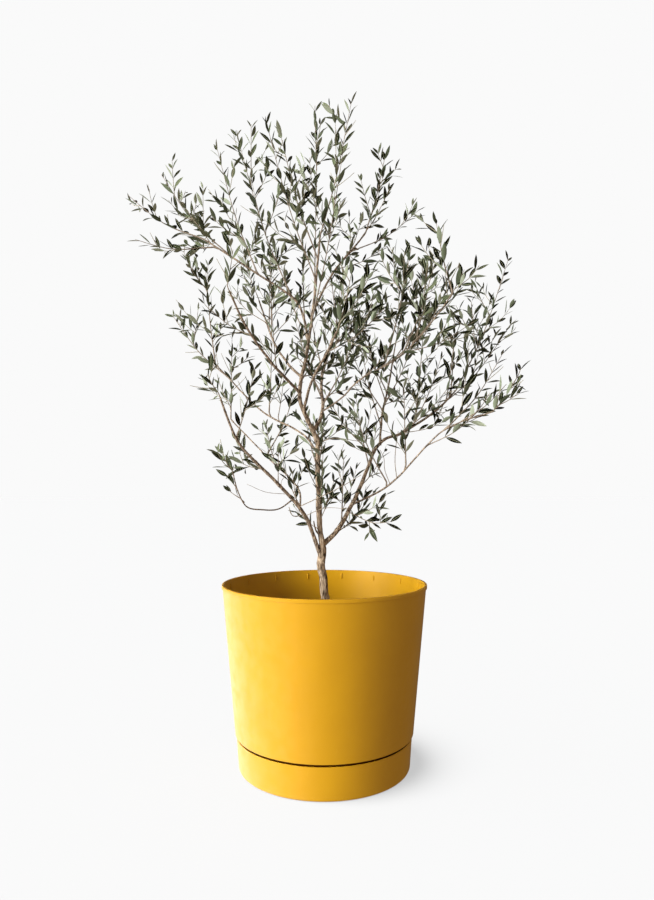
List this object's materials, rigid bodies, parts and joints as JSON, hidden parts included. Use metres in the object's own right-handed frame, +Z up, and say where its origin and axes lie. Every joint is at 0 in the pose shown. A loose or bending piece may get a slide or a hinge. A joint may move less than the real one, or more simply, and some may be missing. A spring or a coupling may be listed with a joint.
{
  "type": "potted olive tree",
  "caption": "Slim multi-stemmed olive tree with an airy silvery crown, in a tapered round golden-yellow plastic planter standing in a flush saucer.",
  "frame": {"origin": "centre of the flat underside of the saucer, at mount underside", "axes": "+Z up along the axis of the round planter, -Y towards the front, +X to the right seen from the front"},
  "size_m": [0.8739, 0.6241, 1.3381],
  "materials": {
    "planter": "satin",
    "soil": "matte",
    "bark": "matte",
    "foliage": "matte"
  },
  "bodies": {
    "root": {"planter": "planter", "saucer": "planter", "potting_soil": "soil", "trunk": "bark", "leader": "bark", "left_stem": "bark", "right_bough": "bark", "left_far_bough": "bark", "left_inner_bough": "bark", "low_left_bough": "bark", "low_right_bough": "bark", "right_back_bough": "bark", "back_stem": "bark", "left_bough": "bark", "front_bough": "bark", "back_left_bough": "bark", "upper_left_bough": "bark", "upper_back_bough": "bark", "right_front_bough": "bark", "foliage_low_left": "foliage", "foliage_low_left_outer": "foliage", "foliage_left_stem": "foliage", "foliage_left_front": "foliage", "foliage_left_inner": "foliage", "foliage_left_middle": "foliage", "foliage_left_column": "foliage", "foliage_left_far": "foliage", "foliage_left_bough": "foliage", "foliage_left_bough_outer": "foliage", "foliage_left_bough_inner": "foliage", "foliage_back_left": "foliage", "foliage_far_left_high": "foliage", "foliage_far_left_low": "foliage", "foliage_far_left_top": "foliage", "foliage_upper_left_middle": "foliage", "foliage_upper_left_back": "foliage", "foliage_top_left": "foliage", "foliage_top_left_inner": "foliage", "foliage_top": "foliage", "foliage_top_back": "foliage", "foliage_top_front": "foliage", "foliage_centre": "foliage", "foliage_upper_right": "foliage", "foliage_upper_back": "foliage", "foliage_back": "foliage", "foliage_back_right": "foliage", "foliage_right_back": "foliage", "foliage_right_middle": "foliage", "foliage_right_high": "foliage", "foliage_right_far": "foliage", "foliage_right_front_high": "foliage", "foliage_right_front": "foliage", "foliage_right_centre": "foliage", "foliage_front": "foliage", "foliage_front_right": "foliage", "foliage_low_right_tip": "foliage", "foliage_low_right": "foliage", "foliage_low_right_inner": "foliage", "foliage_low_centre": "foliage", "foliage_drooping": "foliage"}
  },
  "joints": []
}
